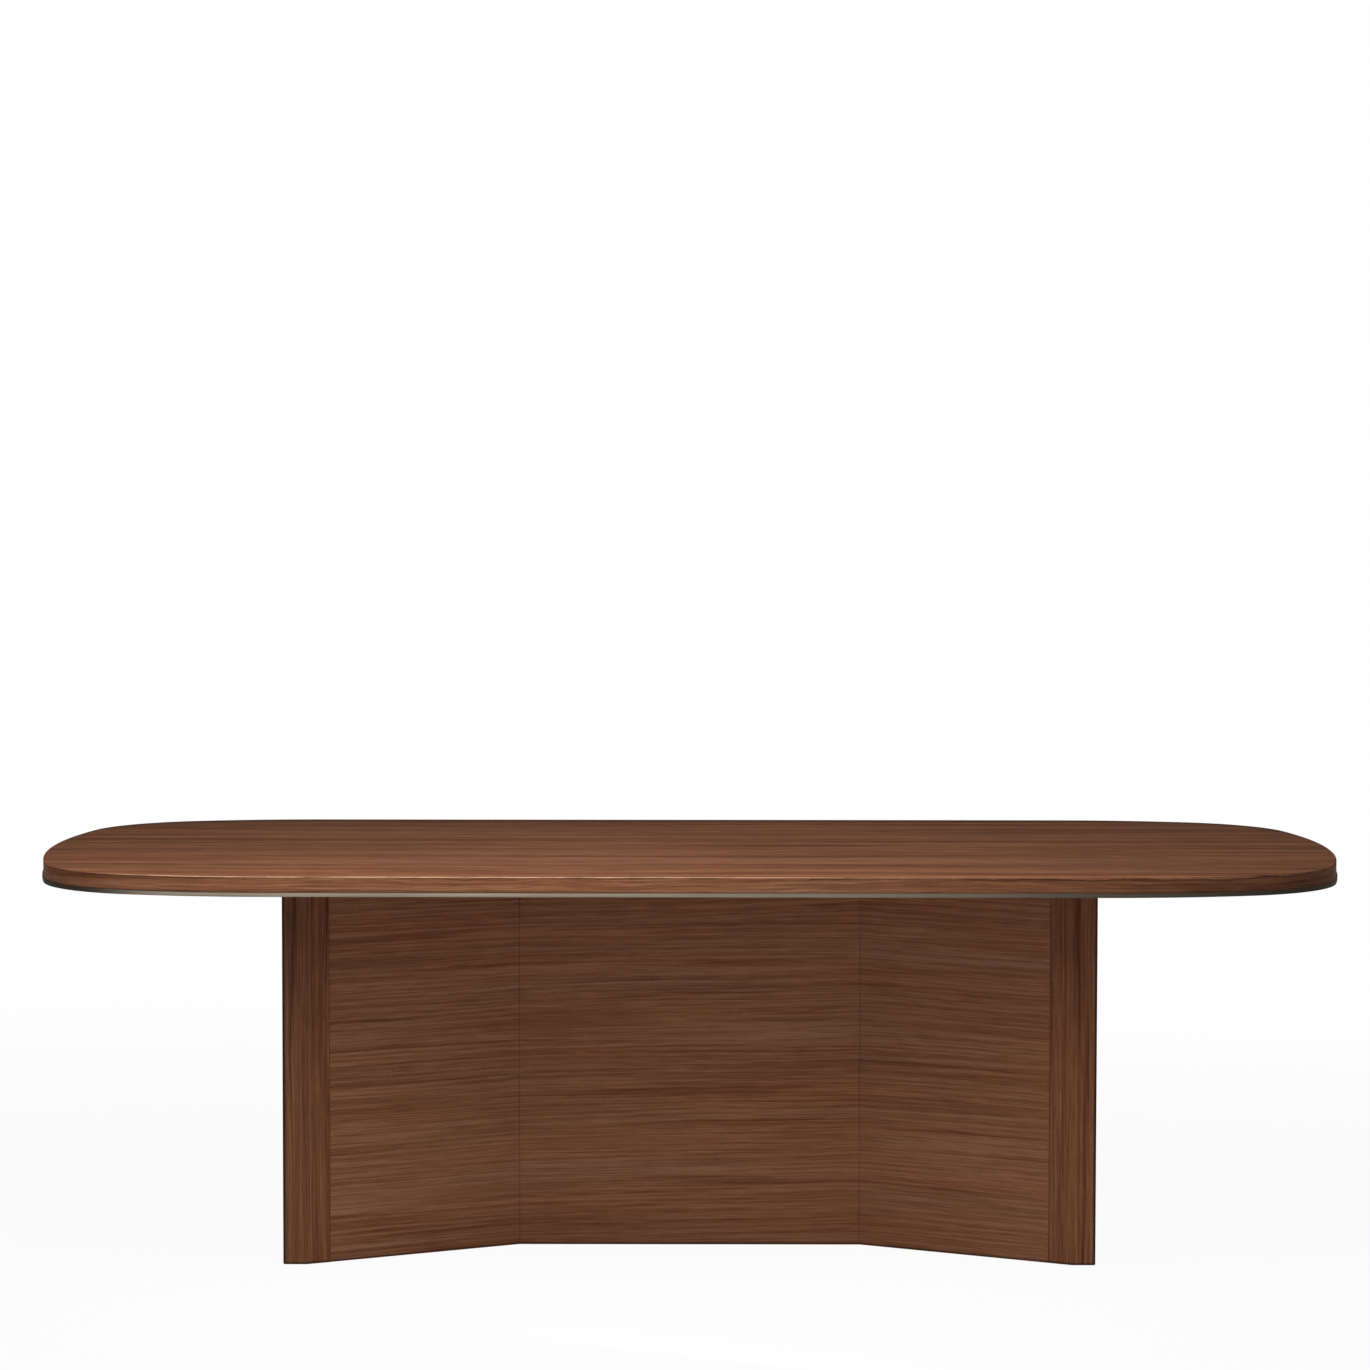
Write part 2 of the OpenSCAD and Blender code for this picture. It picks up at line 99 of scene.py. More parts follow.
# How faces and edges are told apart: gaps in metres, and how squarely a face is turned
WELD = 1e-6
WALL_SLACK = 1e-4
FLAT_ANGLE = math.radians(0.5)
SMOOTH_ANGLE = math.radians(30)
ARRIS_FACING = (0.4, 0.985)
OUTER_FACING = 0.65
SQUARE_FACING = 0.99
UPRIGHT_RISE = 0.5
HEIGHT_SLACK = 0.01

# Darkening by the mesh: the border of painted shade along the rear of the top, in metres, and shares of
# the seam colour, laid as painted shade on the posts' outer corners and the panels' feet
REAR_FROM = 0.05
REAR_BORDER = 0.065
REAR_SHADE = 0.75
CORNER_SHADE = 1.0
CORNER_QUICK = 3.0
FOOT_SHADE = 0.8
SEAM_AND_SHADE_SHARE = 0.85

# Where the grain of each face starts in the figure, and how far it leans out of the level
PANEL_START = 3.0
POST_START = 3.6
BACK_SHIFT = 20.0
LEFT_LEAN = 0.004
RIGHT_LEAN = 0.002
CENTRE_LEAN = -0.020

# Camera of the photograph
IMAGE_SIZE = 1370
SENSOR = 36.0
FOCAL_PX = 4109.4
AXIS_X_PX = 690.1
CAMERA_PLACE = (0.0, -7.840, 1.528)
CAMERA_DOWN = 0.059
CAMERA_ROLL = 0.0013
CAMERA_REACH = 200.0


def paint(red, green, blue):
    """Linear colour with alpha of a screen colour given as 0 to 255."""
    def linear(value):
        value /= 255
        return value / 12.92 if value < 0.04045 else ((value + 0.055) / 1.055) ** 2.4
    return linear(red), linear(green), linear(blue), 1.0


# Node trees

NOISE_LOW = 0.3
NOISE_HIGH = 0.7


class Shader:
    """The node tree of a new material or world, with short calls for the nodes that are used here."""

    def __init__(self, owner):
        owner.use_nodes = True
        self.owner = owner
        self.tree = owner.node_tree
        self.tree.nodes.clear()

    def feed(self, socket, value):
        if isinstance(value, bpy.types.NodeSocket):
            self.tree.links.new(value, socket)
        else:
            socket.default_value = value

    def add(self, kind, inputs=None, **settings):
        node = self.tree.nodes.new("ShaderNode" + kind)
        for key, value in settings.items():
            setattr(node, key, value)
        for key, value in (inputs or {}).items():
            self.feed(node.inputs[key], value)
        return node

    def math(self, operation, first, second=0.0):
        return self.add("Math", {0: first, 1: second}, operation=operation).outputs[0]

    def about(self, noise, amount):
        """A noise that lies about 0.5, as a swing of the given size about zero."""
        return self.math("MULTIPLY", self.math("SUBTRACT", noise, 0.5), amount)

    def share(self, name):
        """A number that the mesh carries."""
        return self.add("Attribute", attribute_name=name).outputs["Fac"]

    def grain_coords(self):
        """Place along, across and through the grain, as the mesh carries it."""
        return self.add("Attribute", attribute_name="grain").outputs["Vector"]

    def object_coords(self):
        return self.add("TexCoord").outputs["Object"]

    def split(self, coords):
        return self.add("SeparateXYZ", {0: coords}).outputs

    def stretched(self, coords, scale, shift=(0.0, 0.0, 0.0)):
        inputs = {0: coords, 1: scale, 2: shift}
        return self.add("VectorMath", inputs, operation="MULTIPLY_ADD").outputs[0]

    def noise(self, coords, scale, detail=2.0, rough=0.5, shift=(0.0, 0.0, 0.0)):
        """Noise from 0 to 1 about 0.5, with its own scale in each direction. A shift keeps it apart."""
        place = self.stretched(coords, scale, shift)
        inputs = {"Vector": place, "Scale": 1.0, "Detail": detail, "Roughness": rough}
        return self.add("TexNoise", inputs).outputs[0]

    def between(self, value, low, high, to_low=0.0, to_high=1.0):
        """Goes smoothly from one value at low to the other at high, and stays there beyond them."""
        inputs = {0: value, 1: low, 2: high, 3: to_low, 4: to_high}
        return self.add("MapRange", inputs, interpolation_type="SMOOTHSTEP").outputs[0]

    def spread(self, noise, to_low, to_high):
        """Takes the usual range of a noise to the given values."""
        return self.between(noise, NOISE_LOW, NOISE_HIGH, to_low, to_high)

    def ramp(self, value, stops):
        node = self.add("ValToRGB", {0: value})
        elements = node.color_ramp.elements
        while len(elements) < len(stops):
            elements.new(0.5)
        for element, (place, colour) in zip(elements, stops):
            element.position = place
            element.color = colour
        return node.outputs[0]

    def mix(self, factor, first, second, blend="MIX"):
        node = self.add("Mix", data_type="RGBA", blend_type=blend)
        self.feed(node.inputs["Factor"], factor)
        self.feed(node.inputs["A"], first)
        self.feed(node.inputs["B"], second)
        return node.outputs["Result"]

    def bump(self, height, distance):
        inputs = {"Height": height, "Distance": distance, "Strength": 1.0}
        return self.add("Bump", inputs).outputs[0]

    def principled(self, **inputs):
        names = {key.replace("_", " "): value for key, value in inputs.items()}
        self.output(self.add("BsdfPrincipled", names).outputs[0])

    def output(self, surface):
        self.add("OutputMaterial", {"Surface": surface})


def new_material(name):
    return Shader(bpy.data.materials.new(name))


# Walnut: colours

WALNUT_TONES = (
    (0.00, paint(62, 34, 25)),
    (0.30, paint(90, 54, 38)),
    (0.50, paint(111, 71, 49)),
    (0.70, paint(132, 87, 61)),
    (1.00, paint(158, 113, 85)),
)
WARM_AND_COOL = (
    (0.32, (1.05, 0.975, 0.93, 1.0)),
    (0.68, (0.96, 1.02, 1.05, 1.0)),
)
# Dark of the joints, which also serves as painted shade on the rim, the posts' outer corners and the
# panels' feet
SEAM_AND_SHADE_TINT = paint(44, 27, 19)
# Painted highlight on the front arris
PAINTED_HIGHLIGHT_TINT = paint(222, 180, 150)

# Walnut: scales of its noises along, across and through the grain, per metre
SLOW_WAVE = (1.3, 5.0, 5.0)
QUICK_WAVE = (7.0, 22.0, 22.0)
BAND = (0.5, 22.0, 6.0)
STREAK = (1.1, 56.0, 9.0)
HAIRLINE = (1.1, 130.0, 12.0)
THREAD = (2.4, 210.0, 20.0)
DASH = (13.0, 330.0, 40.0)
FIBRE = (17.0, 640.0, 90.0)
PORE = (90.0, 2300.0, 400.0)
DRIFT = (1.4, 17.0, 3.0)

# Walnut: ranges of those noises over which a mark comes in
STREAK_CUT = (0.42, 0.32)
HAIRLINE_CUT = (0.34, 0.26)
THREAD_CUT = (0.36, 0.64)
PORE_CUT = (0.40, 0.33)
PORE_DARK = 0.16
FIBRE_RELIEF = 0.5
RELIEF_RANGE = (-0.8, 0.4)
RELIEF_DEPTH = 0.00006

# Painted highlight and painted shade on the rim: noise along the rim, and where each kind comes in along
# x or y, in metres
HIGHLIGHT_NOISE = (8.0, 0.0, 0.0)
HIGHLIGHT_CUT = (0.32, 0.55)
HIGHLIGHT_LEFT_END = (-1.13, -0.95)
HIGHLIGHT_RIGHT_END = (0.75, -0.25)
HIGHLIGHT_FRONT = (-0.1, -0.2)
ARRIS_SHADE_REAR = (0.05, 0.15)
ARRIS_SHADE_RIGHT_END = (1.05, 1.18)

# The line between the face's veneer and the edge's: its height, wandering, softness and width, in metres
JOINT_DEPTH = 0.0036
JOINT_HEIGHT = TOP_LEVEL - JOINT_DEPTH
JOINT_WANDER = 0.015
WANDER = (8.0, 8.0, 0.0)
JOINT_SOFT = 0.0006
JOINT_WIDTH = (0.0015, 0.0004)
BROKEN = (6.0, 6.0, 0.0)
BROKEN_CUT = (0.38, 0.54)
JOINT_ALONG = (-0.95, -0.1, 0.25, 0.75)

# Where painted shade darkens the edge to the right, the pedestal towards its top under the table top,
# and a panel along its foot
SHADE_RIGHT_FROM = (0.15, 0.95)
SHADE_TOP_FROM = (0.42, 0.70)
FOOT_SHADE_LINE = (PANEL_FOOT + 0.0055, PANEL_FOOT + 0.0032)


def wood_warp(g, coords, wave, ripple):
    """Coordinates pushed sideways, so that the figure wanders slowly across the board."""
    slow = g.noise(coords, SLOW_WAVE, detail=1.0)
    quick = g.noise(coords, QUICK_WAVE, detail=1.0, shift=(3.0, 7.0, 1.0))
    push = g.math("ADD", g.about(slow, wave * 2), g.about(quick, ripple * 2))
    offset = g.add("CombineXYZ", {1: push}).outputs[0]
    return g.add("VectorMath", {0: coords, 1: offset}, operation="ADD").outputs[0]


def figure(g, coords, bands, lines, threads, dashes, fibres):
    """Lightness of the figure about zero, from the strength of each kind of mark, and its relief."""
    band = g.noise(coords, BAND)
    streak = g.noise(coords, STREAK, rough=0.6, shift=(5.0, 0.0, 0.0))
    hairline = g.noise(coords, HAIRLINE, detail=1.0, shift=(7.0, 3.0, 6.0))
    thread = g.noise(coords, THREAD, detail=1.0, shift=(2.0, 1.0, 4.0))
    dash = g.noise(coords, DASH, rough=0.6)
    fibre = g.noise(coords, FIBRE, detail=1.0, shift=(1.0, 2.0, 3.0))
    pore = g.between(g.noise(coords, PORE, detail=1.0), *PORE_CUT)
    line = g.math("MAXIMUM", g.between(streak, *STREAK_CUT), g.between(hairline, *HAIRLINE_CUT))
    tone = g.about(band, bands)
    tone = g.math("ADD", tone, g.about(g.between(thread, *THREAD_CUT), threads))
    tone = g.math("ADD", tone, g.about(dash, dashes))
    tone = g.math("ADD", tone, g.about(fibre, fibres))
    tone = g.math("SUBTRACT", tone, g.math("MULTIPLY", line, lines))
    tone = g.math("SUBTRACT", tone, g.math("MULTIPLY", pore, PORE_DARK))
    relief = g.math("SUBTRACT", g.math("MULTIPLY", fibre, FIBRE_RELIEF), pore)
    return tone, relief


def veneer_colour(g, coords, tone, cast):
    """Walnut colour of a tone, drifting between red and yellow brown, times a cast."""
    colour = g.ramp(tone, WALNUT_TONES)
    drift = g.noise(coords, DRIFT, detail=3.0, shift=(9.0, 4.0, 2.0))
    colour = g.mix(1.0, colour, g.ramp(drift, WARM_AND_COOL), blend="MULTIPLY")
    if cast:
        colour = g.mix(1.0, colour, cast, blend="MULTIPLY")
    return colour


def rim_highlight_and_shade(g, colour):
    """Painted highlight and painted shade on the top's rim.

    The arris has a painted highlight on the left of the front, thinning out past the middle, and painted
    shade on the rear and the right end. A soft border of painted shade runs along the rear of the face."""
    coords = g.object_coords()
    x, y, _ = g.split(coords)
    arris = g.share("arris")
    # Painted highlight on the front arris, broken by noise and fading out past the middle
    wear_and_highlight = g.between(g.noise(coords, HIGHLIGHT_NOISE, detail=3.0, rough=0.65), *HIGHLIGHT_CUT)
    left = g.math("MULTIPLY", g.between(x, *HIGHLIGHT_LEFT_END), g.between(x, *HIGHLIGHT_RIGHT_END))
    amount = g.math("MULTIPLY", g.math("MULTIPLY", left, g.between(y, *HIGHLIGHT_FRONT)), wear_and_highlight)
    colour = g.mix(g.math("MULTIPLY", arris, amount), colour, PAINTED_HIGHLIGHT_TINT)
    # Painted shade on the arris at the rear and the right end, and in the border along the rear
    away = g.math("MAXIMUM", g.between(y, *ARRIS_SHADE_REAR), g.between(x, *ARRIS_SHADE_RIGHT_END))
    rear = g.between(g.share("rear"), 0.0, 1.0, 0.0, REAR_SHADE)
    return g.mix(g.math("MAXIMUM", g.math("MULTIPLY", arris, away), rear), colour, SEAM_AND_SHADE_TINT)


def edge_joint(g):
    """Where the edge meets the face: 1 below that wandering line, and the strength of the line."""
    coords = g.object_coords()
    x, _, z = g.split(coords)
    wander = g.noise(coords, WANDER, detail=3.0, rough=0.6, shift=(4.0, 0.0, 0.0))
    height = g.math("SUBTRACT", g.math("ADD", z, g.about(wander, JOINT_WANDER)), JOINT_HEIGHT)
    below = g.between(height, JOINT_SOFT, -JOINT_SOFT)
    broken = g.between(g.noise(coords, BROKEN, detail=3.0, rough=0.6), *BROKEN_CUT)
    shown = g.math("MULTIPLY", g.between(g.math("ABSOLUTE", height), *JOINT_WIDTH), broken)
    return below, g.math("MULTIPLY", shown, g.between(x, *JOINT_ALONG))


def walnut(name, level, wave=0.018, ripple=0.003, gloss=0.08, roughness=(0.74, 0.86), cast=None,
           painted_shade_right=0.0, painted_shade_top=0.0, plain=False, rim=False, band=False, seams=False, **swings):
    """Open-pored veneer with soft bands, dark streaks, threads, short dashes and fine fibres.

    level is its lightness, swings are the strengths that figure() asks for, and plain is for a node
    whose mesh carries no grain, so that its grain runs along x."""
    g = new_material(name)
    base = g.object_coords() if plain else g.grain_coords()
    coords = wood_warp(g, base, wave, ripple)
    tone, relief = figure(g, coords, **swings)
    tone = g.math("ADD", tone, level)
    x, _, z = g.split(g.object_coords())
    if band:
        below, line = edge_joint(g)
        # Painted shade on the edge, darker towards the right
        fall = g.math("MULTIPLY", g.between(x, *SHADE_RIGHT_FROM, 0.0, painted_shade_right), below)
        tone = g.math("SUBTRACT", tone, fall)
    if painted_shade_top:
        # Painted shade on the pedestal towards its top, under the table top
        tone = g.math("SUBTRACT", tone, g.between(z, *SHADE_TOP_FROM, 0.0, painted_shade_top))
    colour = veneer_colour(g, coords, tone, cast)
    if band:
        colour = g.mix(line, colour, SEAM_AND_SHADE_TINT)
    if rim:
        colour = rim_highlight_and_shade(g, colour)
    if seams:
        # Dark of the seams, with painted shade at the posts' outer corners and along the panels' foot
        dark = g.math("MAXIMUM", g.share("seam"), g.between(z, *FOOT_SHADE_LINE, 0.0, FOOT_SHADE))
        colour = g.mix(g.math("MULTIPLY", dark, SEAM_AND_SHADE_SHARE), colour, SEAM_AND_SHADE_TINT)
    smooth, pored = roughness
    g.principled(
        Base_Color=colour, Roughness=g.between(relief, *RELIEF_RANGE, pored, smooth),
        Specular_IOR_Level=gloss, Normal=g.bump(relief, RELIEF_DEPTH),
    )
    return g.owner


WALNUTS = {
    "walnut_face": dict(
        level=0.640, bands=0.84, lines=0.38, threads=0.40, dashes=0.95, fibres=0.75,
        cast=(1.03, 0.985, 0.94, 1.0), wave=0.012, gloss=0.03, roughness=(0.84, 0.94), rim=True,
    ),
    "walnut_under": dict(
        level=0.40, bands=0.4, lines=0.12, threads=0.12, dashes=0.3, fibres=0.3, plain=True,
    ),
    "walnut_edge": dict(
        level=0.765, bands=0.70, lines=0.24, threads=0.22, dashes=0.64, fibres=0.5,
        cast=(1.0, 1.02, 1.02, 1.0), wave=0.012, ripple=0.005, painted_shade_right=0.34, rim=True, band=True,
    ),
    "walnut_panel": dict(
        level=0.770, bands=0.34, lines=0.18, threads=0.20, dashes=0.44, fibres=0.46,
        cast=(1.0, 1.0, 1.02, 1.0), wave=0.009, ripple=0.0014, painted_shade_top=0.02, seams=True,
    ),
    "walnut_post": dict(
        level=0.655, bands=0.30, lines=0.26, threads=0.20, dashes=0.46, fibres=0.40,
        wave=0.008, ripple=0.0014, painted_shade_top=0.10, seams=True,
    ),
}


# Other materials: colours, noises per metre, and depths of relief in metres

BIRCH_TONES = ((0.3, paint(170, 138, 98)), (0.7, paint(206, 176, 132)))
BIRCH_GRAIN = (3.0, 60.0, 60.0)
BIRCH_ROUGH = (0.62, 0.78)
BIRCH_RELIEF = 0.00008
GLUE_TINT = paint(110, 82, 55)
GLUE_CUT = (0.42, 0.49)
GLUE_SHARE = 0.35
PLIES = 700.0

CHIP_TONES = ((0.35, paint(140, 112, 78)), (0.65, paint(196, 168, 122)))
CHIPS = (350.0, 350.0, 350.0)
CHIP_ROUGH = (0.7, 0.85)
CHIP_RELIEF = 0.0002
RAW_GLOSS = 0.3

ZINC_TONES = ((0.35, paint(140, 142, 146)), (0.65, paint(176, 178, 180)))
ZINC_BLOOM = (120.0, 120.0, 120.0)
ZINC_FINE = (900.0, 900.0, 900.0)
ZINC_ROUGH = (0.3, 0.46)
METAL_RELIEF = 0.00002

PLASTIC_TONES = ((0.3, paint(26, 26, 27)), (0.7, paint(40, 40, 41)))
PLASTIC_WEAR = (60.0, 60.0, 60.0)
PLASTIC_FINE = (1500.0, 1500.0, 1500.0)
PLASTIC_ROUGH = (0.5, 0.62)
PLASTIC_RELIEF = 0.00005

STRIP_TONES = ((0.35, paint(143, 129, 113)), (0.65, paint(171, 158, 141)))
STRIP_BRUSH = (6.0, 2600.0, 2600.0)
STRIP_CLOUD = (4.0, 12.0, 12.0)
BRUSH_SHARE = 0.6
CLOUD_SHARE = 0.4
STRIP_ROUGH = (0.36, 0.5)
STRIP_METAL = 0.4
STRIP_GLOSS = 0.08

# Painted dark reflection and shade on the strip towards its ends along x, and painted shade at its joint
# and its foot, in metres
REFLECTED_DARK_TINT = paint(42, 35, 28)
REFLECTED_DARK_RIGHT = (-0.60, 1.25)
REFLECTED_DARK_LEFT = (-0.90, -1.12)
REFLECTED_DARK_SHARE = 0.90
REFLECTED_DARK_ROUGH = 0.4
STRIP_JOINT = (STRIP_TOP - 0.0016, STRIP_TOP - 0.0006)
STRIP_JOINT_SHADE = 0.7
STRIP_FOOT = (STRIP_TOP - 0.0030, STRIP_LOW)
STRIP_FOOT_SHADE = 0.35


def plywood(name):
    """Birch plywood: pale, with a soft grain and thin glue lines on its edges."""
    g = new_material(name)
    coords = g.object_coords()
    grain = g.noise(coords, BIRCH_GRAIN, detail=3.0)
    plies = g.math("FRACT", g.math("MULTIPLY", g.split(coords)[2], PLIES))
    glue = g.between(g.math("ABSOLUTE", g.math("SUBTRACT", plies, 0.5)), *GLUE_CUT)
    colour = g.mix(g.math("MULTIPLY", glue, GLUE_SHARE), g.ramp(grain, BIRCH_TONES), GLUE_TINT)
    g.principled(Base_Color=colour, Roughness=g.spread(grain, *BIRCH_ROUGH),
                 Specular_IOR_Level=RAW_GLOSS, Normal=g.bump(grain, BIRCH_RELIEF))
    return g.owner


def board(name):
    """Raw particle board: fine pale chips."""
    g = new_material(name)
    chips = g.noise(g.object_coords(), CHIPS, detail=3.0, rough=0.7)
    g.principled(Base_Color=g.ramp(chips, CHIP_TONES), Roughness=g.spread(chips, *CHIP_ROUGH),
                 Specular_IOR_Level=RAW_GLOSS, Normal=g.bump(chips, CHIP_RELIEF))
    return g.owner


def zinc(name):
    """Zinc plated steel with a faint mottled bloom."""
    g = new_material(name)
    coords = g.object_coords()
    bloom = g.noise(coords, ZINC_BLOOM, detail=3.0)
    fine = g.noise(coords, ZINC_FINE)
    g.principled(Base_Color=g.ramp(bloom, ZINC_TONES), Metallic=1.0,
                 Roughness=g.spread(fine, *ZINC_ROUGH), Normal=g.bump(fine, METAL_RELIEF))
    return g.owner


def moulded(name):
    """Dark moulded plastic with a fine spark-eroded grain."""
    g = new_material(name)
    coords = g.object_coords()
    fine = g.noise(coords, PLASTIC_FINE)
    wear_and_highlight = g.noise(coords, PLASTIC_WEAR)
    g.principled(Base_Color=g.ramp(wear_and_highlight, PLASTIC_TONES), Roughness=g.spread(wear_and_highlight, *PLASTIC_ROUGH),
                 Normal=g.bump(fine, PLASTIC_RELIEF))
    return g.owner


def brushed_strip(name):
    """Warm grey metal, brushed along its length, with painted shade at its joint and foot and a painted
    dark reflection and shade towards both ends.
    """
    g = new_material(name)
    coords = g.grain_coords()
    brush = g.noise(coords, STRIP_BRUSH, rough=0.6)
    cloud = g.noise(coords, STRIP_CLOUD, shift=(2.0, 5.0, 8.0))
    tone = g.math("ADD", g.math("MULTIPLY", brush, BRUSH_SHARE), g.math("MULTIPLY", cloud, CLOUD_SHARE))
    x, _, z = g.split(g.object_coords())
    # Painted dark reflection and shade towards both ends, with rougher metal there
    reflected_dark = g.math("MAXIMUM", g.between(x, *REFLECTED_DARK_RIGHT), g.between(x, *REFLECTED_DARK_LEFT))
    # Painted shade in the gap at the strip's joint and along its foot
    upper = g.math("MULTIPLY", g.between(z, *STRIP_JOINT), STRIP_JOINT_SHADE)
    dark = g.math("MAXIMUM", upper, g.between(z, *STRIP_FOOT, 0.0, STRIP_FOOT_SHADE))
    dark = g.math("MAXIMUM", dark, g.math("MULTIPLY", reflected_dark, REFLECTED_DARK_SHARE))
    rough = g.math("ADD", g.spread(brush, *STRIP_ROUGH), g.math("MULTIPLY", reflected_dark, REFLECTED_DARK_ROUGH))
    g.principled(Base_Color=g.mix(dark, g.ramp(tone, STRIP_TONES), REFLECTED_DARK_TINT), Metallic=STRIP_METAL,
                 Roughness=rough, Specular_IOR_Level=STRIP_GLOSS, Normal=g.bump(brush, METAL_RELIEF))
    return g.owner


MATERIALS = {name: walnut(name, **look) for name, look in WALNUTS.items()}
MATERIALS["metal_strip"] = brushed_strip("metal_strip")
MATERIALS["board_core"] = board("board_core")
MATERIALS["plywood"] = plywood("plywood")
MATERIALS["steel"] = zinc("steel")
MATERIALS["pad_plastic"] = moulded("pad_plastic")


# Mesh tools

def solid(node):
    """A working mesh of a CAD solid, its triangles joined back into flat faces."""
    bm = bmesh.new()
    bm.from_mesh(frame["nodes"][node].data)
    bmesh.ops.remove_doubles(bm, verts=bm.verts, dist=WELD)
    bmesh.ops.dissolve_limit(bm, angle_limit=FLAT_ANGLE, verts=bm.verts, edges=bm.edges)
    bm.normal_update()
    return bm


def cap_of(bm):
    """The highest face."""
    return max(bm.faces, key=lambda face: face.calc_center_median().z)


class Rim:
    """The top's outline, counter-clockwise from above, measured along from the middle of the front."""

    def __init__(self):
        bm = solid("face_sheet")
        self.points = np.array([vert.co[:2] for vert in cap_of(bm).verts])
        bm.free()
        self.steps = np.roll(self.points, -1, axis=0) - self.points
        self.lengths = np.linalg.norm(self.steps, axis=1)
        sides = np.stack([self.steps[:, 1], -self.steps[:, 0]], axis=1) / self.lengths[:, None]
        self.outward = sides + np.roll(sides, 1, axis=0)
        self.whole = self.lengths.sum()
        self.run = np.concatenate([[0.0], np.cumsum(self.lengths)[:-1]])
        self.run -= self.locate([(0.0, CAD_BOX[0].y)])[0][0]

    def locate(self, places):
        """Length along the rim, distance outside it, and the outward direction, of each place."""
        flat = np.array([place[:2] for place in places])[:, None, :]
        part = ((flat - self.points) * self.steps).sum(axis=2) / self.lengths ** 2
        part = np.clip(part, 0.0, 1.0)
        gap = np.linalg.norm(flat - self.points - self.steps * part[..., None], axis=2)
        best = gap.argmin(axis=1)
        part = part[np.arange(len(best)), best][:, None]
        after = (best + 1) % len(self.points)
        out = self.outward[best] * (1 - part) + self.outward[after] * part
        out /= np.linalg.norm(out, axis=1)[:, None]
        foot = self.points[best] + self.steps[best] * part
        distance = ((flat[:, 0, :] - foot) * out).sum(axis=1)
        return self.run[best] + self.lengths[best] * part[:, 0], distance, out

    def run_about(self, run, middle):
        """Lengths along the rim, counted without a jump within half a turn of the middle."""
        return (run - middle + self.whole / 2) % self.whole - self.whole / 2 + middle


RIM = Rim()
BAND_MIDDLE = {"front": 0.0, "right": 0.25, "back": 0.5, "left": -0.25}


def round_depths(radius):
    """Depths below a face of the rings that make a rounded edge."""
    turns = [math.pi / 2 * step / ROUND_STEPS for step in range(ROUND_STEPS + 1)]
    return [radius * (1 - math.sin(turn)) for turn in turns]


def inset_at(depth, radius):
    """How far a rounded edge lies inside the wall, at a depth below its face."""
    if depth >= radius:
        return 0.0
    return radius - math.sqrt(radius ** 2 - (radius - max(depth, 0.0)) ** 2)


def round_wall(bm, top, top_radius, foot, foot_radius):
    """Rounds the outer wall's upper and lower edges, for a wall that follows the rim."""
    low = min(vert.co.z for vert in bm.verts)
    high = max(vert.co.z for vert in bm.verts)
    levels = [top - depth for depth in round_depths(top_radius)] if top_radius else []
    levels += [foot + depth for depth in round_depths(foot_radius)] if foot_radius else []
    for level in levels:
        if low + WELD < level < high - WELD:
            everything = [*bm.verts, *bm.edges, *bm.faces]
            bmesh.ops.bisect_plane(bm, geom=everything, plane_co=(0, 0, level), plane_no=(0, 0, 1))
    _, distance, outward = RIM.locate([vert.co for vert in bm.verts])
    for vert, out, direction in zip(bm.verts, distance, outward):
        if out > distance.max() - WALL_SLACK:
            inset = inset_at(top - vert.co.z, top_radius) + inset_at(vert.co.z - foot, foot_radius)
            vert.co.xy -= Vector(direction) * inset
    bm.normal_update()


def mark_arris(bm):
    """Face value that is 1 on the sloping facets of the upper arris."""
    layer = bm.faces.layers.float.new("arris")
    steepest, flattest = ARRIS_FACING
    for face in bm.faces:
        face[layer] = 1.0 if steepest < face.normal.z < flattest else 0.0


def shade_rear(bm):
    """Cuts a border along the rear of the top face, with a value of painted shade that falls from 1 at
    the rim to 0.
    """
    layer = bm.verts.layers.float.new("rear")
    cap = cap_of(bm)
    ring = list(cap.verts)
    rear = [vert for vert in ring if vert.co.y > REAR_FROM]
    inner = {vert: bm.verts.new(vert.co - Vector((0, REAR_BORDER, 0))) for vert in rear}
    for vert in rear:
        vert[layer] = 1.0
    bm.faces.remove(cap)
    loop = []
    for before, vert, after in zip(ring[-1:] + ring[:-1], ring, ring[1:] + ring[:1]):
        if vert in inner and before not in inner:
            loop.append(vert)
        loop.append(inner.get(vert, vert))
        if vert in inner and after in inner:
            bm.faces.new((vert, after, inner[after], inner[vert]))
        elif vert in inner:
            loop.append(vert)
    bm.faces.new(loop)
    bm.normal_update()


def set_grain(bm, places):
    """Stores each vertex's place along, across and through the grain."""
    layer = bm.verts.layers.float_vector.new("grain")
    for vert, place in zip(bm.verts, places):
        vert[layer] = place


def finish_piece(bm, node):
    """Makes the piece that stands for a CAD node, with its normals, finish and body."""
    mesh = bpy.data.meshes.new(node + "_shown")
    bm.to_mesh(mesh)
    bm.free()
    mesh.shade_smooth()
    mesh.set_sharp_from_angle(angle=SMOOTH_ANGLE)
    slot = NODE_SLOT[node]
    mesh.materials.append(MATERIALS[slot])
    piece = bpy.data.objects.new(node + "_shown", mesh)
    bpy.context.scene.collection.objects.link(piece)
    normals = piece.modifiers.new("Normals", "WEIGHTED_NORMAL")
    normals.keep_sharp = True
    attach(piece, TABLE)
    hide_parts(node)


# Table top

def top_pieces():
    sheet = solid("face_sheet")
    round_wall(sheet, TOP_LEVEL, RIM_ROUND, 0.0, 0.0)
    mark_arris(sheet)
    shade_rear(sheet)
    set_grain(sheet, [vert.co for vert in sheet.verts])
    finish_piece(sheet, "face_sheet")
    for side in BAND_MIDDLE:
        band_piece("edge", side, TOP_LEVEL, RIM_ROUND, BAND_FOOT_ROUND)
        band_piece("strip", side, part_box("strip_" + side)[1].z, STRIP_TOP_ROUND, STRIP_FOOT_ROUND)


